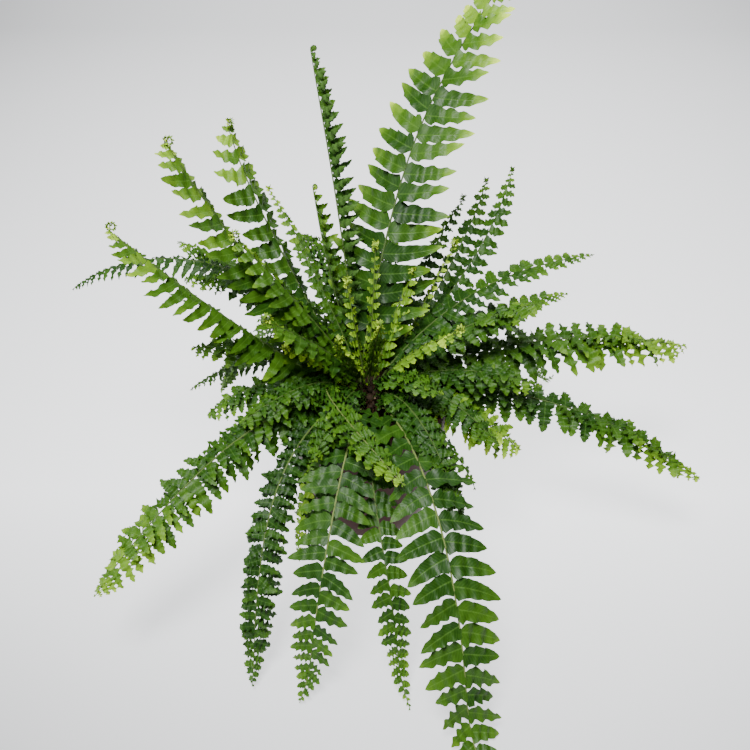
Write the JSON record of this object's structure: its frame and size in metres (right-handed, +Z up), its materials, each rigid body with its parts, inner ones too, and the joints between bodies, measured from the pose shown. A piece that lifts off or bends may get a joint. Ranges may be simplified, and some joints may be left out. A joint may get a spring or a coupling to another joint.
{
  "type": "potted fern",
  "caption": "Sword fern with long once-divided arching and trailing fronds, growing from a knobbly crown in compost in a round plastic nursery pot.",
  "frame": {"origin": "centre of the pot's flat underside, on the surface the pot stands on", "axes": "+Z up out of the pot, -Y towards the front of the plant, +X to the right seen from the front"},
  "size_m": [0.4579, 0.5004, 0.3652],
  "materials": {
    "leaf": "satin living leaf, mid to deep green, paler green rachis",
    "young_leaf": "satin living leaf, fresh yellow-green",
    "rhizome": "rough, brown chaffy scales",
    "compost": "crumbly moist peat compost, matt",
    "pot_plastic": "moulded terracotta-brown polypropylene, soft sheen"
  },
  "bodies": {
    "root": {"pot": "pot_plastic", "compost": "compost", "crown": "rhizome", "trailing_frond_01": "leaf", "trailing_frond_02": "leaf", "trailing_frond_03": "leaf", "trailing_frond_04": "leaf", "trailing_frond_05": "leaf", "trailing_frond_06": "leaf", "trailing_frond_07": "leaf", "trailing_frond_08": "leaf", "trailing_frond_09": "leaf", "arching_frond_01": "leaf", "arching_frond_02": "leaf", "arching_frond_03": "leaf", "arching_frond_04": "leaf", "arching_frond_05": "leaf", "arching_frond_06": "leaf", "arching_frond_07": "leaf", "arching_frond_08": "leaf", "arching_frond_09": "leaf", "arching_frond_10": "leaf", "arching_frond_11": "leaf", "arching_frond_12": "leaf", "arching_frond_13": "leaf", "arching_frond_14": "leaf", "arching_frond_15": "leaf", "arching_frond_16": "leaf", "arching_frond_17": "leaf", "arching_frond_18": "leaf", "arching_frond_19": "leaf", "arching_frond_20": "leaf", "arching_frond_21": "leaf", "arching_frond_22": "leaf", "arching_frond_23": "leaf", "arching_frond_24": "leaf", "arching_frond_25": "leaf", "arching_frond_26": "leaf", "arching_frond_27": "leaf", "arching_frond_28": "leaf", "arching_frond_29": "leaf", "arching_frond_30": "leaf", "upright_frond_01": "leaf", "upright_frond_02": "leaf", "upright_frond_03": "leaf", "upright_frond_04": "leaf", "upright_frond_05": "leaf", "upright_frond_06": "leaf", "upright_frond_07": "leaf", "upright_frond_08": "leaf", "upright_frond_09": "leaf", "young_frond_01": "young_leaf", "young_frond_02": "young_leaf", "young_frond_03": "young_leaf", "young_frond_04": "young_leaf", "young_frond_05": "young_leaf", "young_frond_06": "young_leaf", "young_frond_07": "young_leaf", "young_frond_08": "young_leaf"}
  },
  "joints": []
}
